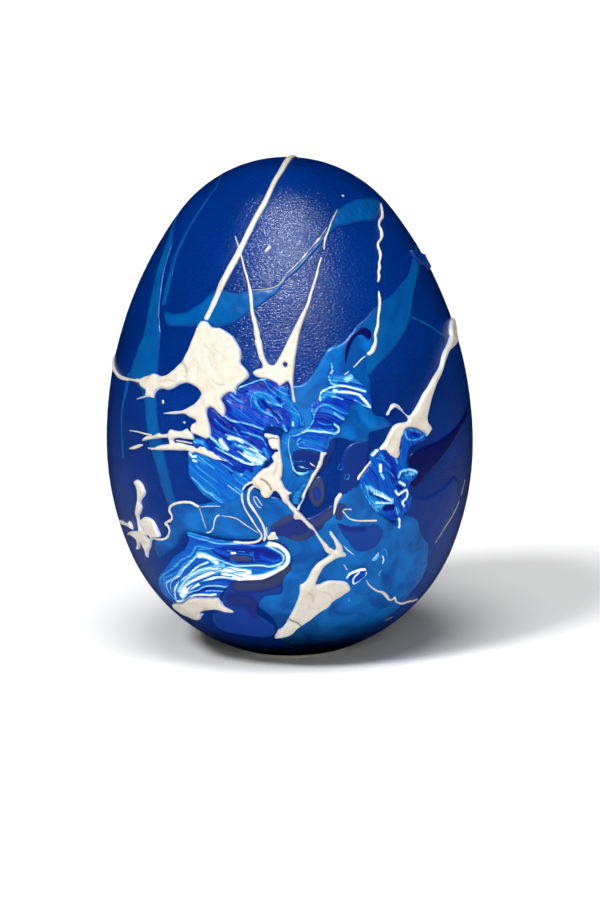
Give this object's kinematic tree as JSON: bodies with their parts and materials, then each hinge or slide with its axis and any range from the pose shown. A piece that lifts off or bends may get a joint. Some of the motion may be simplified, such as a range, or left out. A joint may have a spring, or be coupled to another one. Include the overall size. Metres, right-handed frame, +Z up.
{
  "type": "painted wooden egg",
  "caption": "Turned wooden egg on a small sawn foot, coated in stippled ultramarine and covered in poured, dripped and knifed acrylic paint films.",
  "frame": {"origin": "centre of the flat foot at the blunt end, on the surface it stands on", "axes": "+Z up the egg's axis to the pointed end, -Y towards its best painted side, +X to that side's right"},
  "size_m": [0.0444, 0.0453, 0.0602],
  "materials": {
    "bare_lime_wood": "bare sanded lime wood on the sawn foot, oiled by handling",
    "white_primer": "matt brushed acrylic primer",
    "ultramarine_ground": "satin sponged acrylic with a fine stipple",
    "cerulean_wash": "thin satin acrylic wash",
    "cobalt_pool": "self-levelled satin acrylic",
    "navy_violet_film": "thin satin acrylic",
    "cream_white_pour": "satin poured acrylic with a rounded edge",
    "marbled_blue_white": "unmixed blue and white acrylic dragged into veins",
    "knifed_cobalt": "heavy-body acrylic in knife ridges"
  },
  "bodies": {
    "root": {"wooden_core": "bare_lime_wood", "primer_coat": "white_primer", "ground_coat": "ultramarine_ground", "veil_left": "cerulean_wash", "veil_ribbon": "cerulean_wash", "veil_leaf_right": "cerulean_wash", "pool_centre": "cobalt_pool", "pool_lower": "cobalt_pool", "violet_stains": "navy_violet_film", "navy_hook": "navy_violet_film", "navy_streak_right": "navy_violet_film", "blue_thread_right": "cerulean_wash", "white_streak_top": "cream_white_pour", "white_pour_left": "cream_white_pour", "white_thread_left": "cream_white_pour", "white_splash_left": "cream_white_pour", "white_pour_centre": "cream_white_pour", "white_thread_right": "cream_white_pour", "white_pour_right": "cream_white_pour", "white_spine": "cream_white_pour", "white_swan_line": "cream_white_pour", "white_diagonal": "cream_white_pour", "white_pour_base": "cream_white_pour", "white_pour_foot": "cream_white_pour", "white_squiggle_left": "cream_white_pour", "white_loop_left": "cream_white_pour", "white_check_right": "cream_white_pour", "white_thread_base_right": "cream_white_pour", "white_specks": "cream_white_pour", "marbled_fan": "marbled_blue_white", "marbled_eye": "navy_violet_film", "impasto_left": "knifed_cobalt", "impasto_centre": "knifed_cobalt", "impasto_right": "knifed_cobalt", "impasto_base_right": "marbled_blue_white", "paint_chip_right": "navy_violet_film", "veil_back": "cerulean_wash", "pool_back": "cobalt_pool", "white_pour_back": "cream_white_pour", "white_thread_back": "cream_white_pour", "impasto_back": "knifed_cobalt"}
  },
  "joints": []
}
